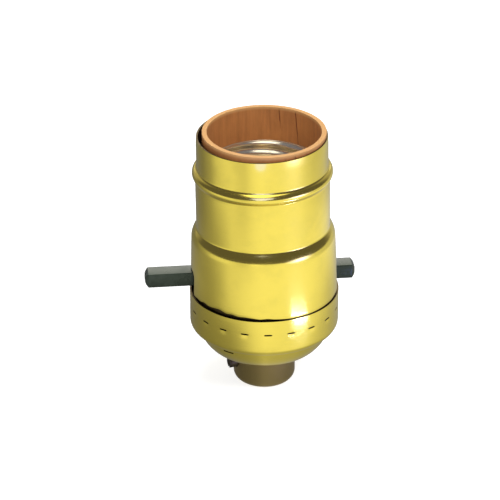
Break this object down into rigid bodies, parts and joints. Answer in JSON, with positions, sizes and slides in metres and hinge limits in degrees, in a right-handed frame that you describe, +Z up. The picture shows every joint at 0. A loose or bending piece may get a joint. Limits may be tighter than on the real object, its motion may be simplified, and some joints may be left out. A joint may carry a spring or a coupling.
{
  "type": "lamp holder",
  "caption": "Push-through lamp holder: spun brass shell and cap on a threaded hub, with a fibre liner, rolled screw shell and a black push bar.",
  "frame": {"origin": "centre of the hub's lower end, where the lamp pipe's threaded bore starts", "axes": "+Z up the holder's axis towards the lamp, X along the push bar with its long end at -X, Y across; the terminal screws face -Y (hot) and +Y (neutral)"},
  "size_m": [0.0517, 0.0366, 0.0674],
  "materials": {
    "gilt_brass": "bright gilt, lacquered, faint spinning marks",
    "hub_brass": "dull turned brass",
    "fibre": "matt vulcanised fibre, streaked along its height",
    "aluminium": "rolled, bright",
    "black_phenolic": "moulded, semi-gloss",
    "moulded_block": "moulded phenolic, satin",
    "contact_brass": "stamped, bright",
    "plated_steel": "nickel plated",
    "dark_steel": "dull, oxidised"
  },
  "bodies": {
    "base": {"cap": "gilt_brass", "cap_liner": "fibre", "hub_bushing": "hub_brass", "lower_block": "moulded_block", "upper_block": "moulded_block", "block_screws": "plated_steel", "screw_shell": "aluminium", "screw_shell_rivets": "aluminium", "centre_strap": "contact_brass", "centre_contact": "contact_brass", "contact_rivet": "contact_brass", "rocker_pin": "plated_steel", "hot_terminal_plate": "contact_brass", "neutral_terminal_strip": "plated_steel"},
    "shell": {"outer_shell": "gilt_brass", "shell_liner": "fibre"},
    "bar": {"push_bar": "black_phenolic"},
    "rocker": {"switch_rocker": "moulded_block", "rocker_contact": "contact_brass"},
    "set_screw": {"hub_set_screw": "dark_steel"},
    "hot_screw": {"hot_terminal_screw": "contact_brass"},
    "neutral_screw": {"neutral_terminal_screw": "plated_steel"}
  },
  "joints": [
    {"name": "shell_lift", "type": "slide", "parent": "base", "child": "shell", "axis": [0, 0, 1], "range_m": [0, 0.048]},
    {"name": "bar_push", "type": "slide", "parent": "base", "child": "bar", "axis": [1, 0, 0], "range_m": [0, 0.0071]},
    {"name": "rocker_swing", "type": "hinge", "parent": "base", "child": "rocker", "pos_m": [0, 0, 0.0228], "axis": [0, 1, 0], "range_deg": [0, 67.5]},
    {"name": "set_screw_turn", "type": "hinge", "parent": "base", "child": "set_screw", "pos_m": [0, 0, 0.0056], "axis": [-0.9659, -0.2588, 0], "range_deg": [0, 720]},
    {"name": "hot_screw_turn", "type": "hinge", "parent": "base", "child": "hot_screw", "pos_m": [0, -0.0117, 0.0225], "axis": [0, -1, 0], "range_deg": [0, 720]},
    {"name": "neutral_screw_turn", "type": "hinge", "parent": "base", "child": "neutral_screw", "pos_m": [0, 0.0117, 0.0225], "axis": [0, 1, 0], "range_deg": [0, 720]}
  ],
  "couplings": [
    {"joint": "rocker_swing", "follows": "bar_push", "rad_per_m": 165.63}
  ]
}
